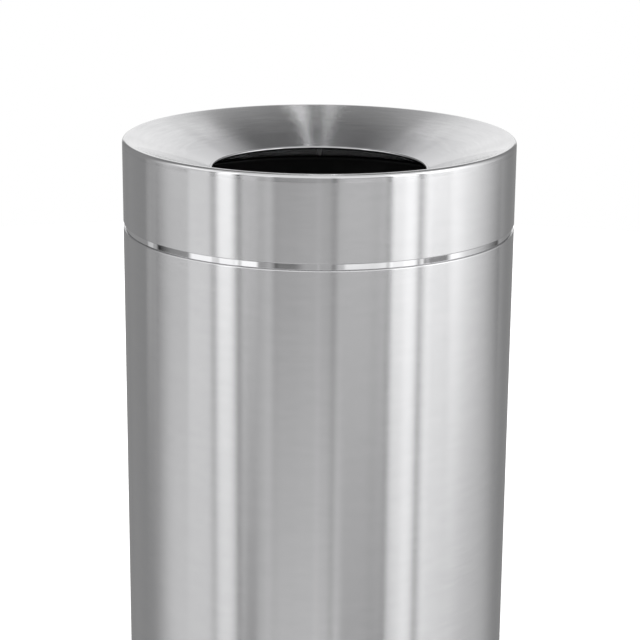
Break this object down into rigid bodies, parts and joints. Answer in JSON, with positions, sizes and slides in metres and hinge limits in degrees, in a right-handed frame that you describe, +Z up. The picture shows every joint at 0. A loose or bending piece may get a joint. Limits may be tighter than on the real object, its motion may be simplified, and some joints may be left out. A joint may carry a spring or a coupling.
{
  "type": "litter bin",
  "caption": "Round brushed-steel litter bin: plain cylindrical body, recessed polished band, lift-off lid with a funnel top round an open mouth, and a lift-out liner with drop handles.",
  "frame": {"origin": "on the floor, at the bin's centre line", "axes": "+Z up along the centre line; +Y towards the back, where the seam is; the liner's handles stand on +X and -X"},
  "size_m": [0.5113, 0.5114, 0.787],
  "materials": {
    "brushed_stainless": "satin stainless steel, brushed round the bin",
    "polished_stainless": "mirror polished stainless steel",
    "mill_steel": "plain rolled steel inside the bin",
    "zinc_steel": "bright zinc plate",
    "black_coating": "black powder coating",
    "black_rubber": "matt black rubber",
    "grey_nylon": "moulded grey nylon"
  },
  "bodies": {
    "bin_body": {"outer_shell": "brushed_stainless", "seam_strip": "mill_steel", "top_hoop": "mill_steel", "base_pan": "mill_steel", "base_rivets": "zinc_steel", "base_trim": "black_rubber", "foot_glides": "grey_nylon", "foot_screws": "zinc_steel", "foot_nuts": "zinc_steel", "liner_rest_pads": "black_rubber", "liner_locators": "mill_steel", "locator_rivets": "zinc_steel"},
    "liner": {"liner_bucket": "black_coating", "liner_rim_wire": "zinc_steel", "handle_ears": "zinc_steel", "ear_rivets": "zinc_steel"},
    "left_handle": {"handle_left": "zinc_steel", "grip_left": "black_rubber"},
    "right_handle": {"handle_right": "zinc_steel", "grip_right": "black_rubber"},
    "lid": {"lid_funnel": "brushed_stainless", "lid_skirt": "brushed_stainless", "locating_collar": "polished_stainless", "lid_gasket": "black_rubber"}
  },
  "joints": [
    {"name": "liner_lift", "type": "slide", "parent": "bin_body", "child": "liner", "axis": [0, 0, 1], "range_m": [0, 0.7]},
    {"name": "lid_lift", "type": "slide", "parent": "liner", "child": "lid", "axis": [0, 0, 1], "range_m": [0, 0.3]},
    {"name": "left_handle_swing", "type": "hinge", "parent": "liner", "child": "left_handle", "pos_m": [-0.205, 0, 0.68823], "axis": [0, -1, 0], "range_deg": [0, 180]},
    {"name": "right_handle_swing", "type": "hinge", "parent": "liner", "child": "right_handle", "pos_m": [0.205, 0, 0.68823], "axis": [0, 1, 0], "range_deg": [0, 180]}
  ]
}
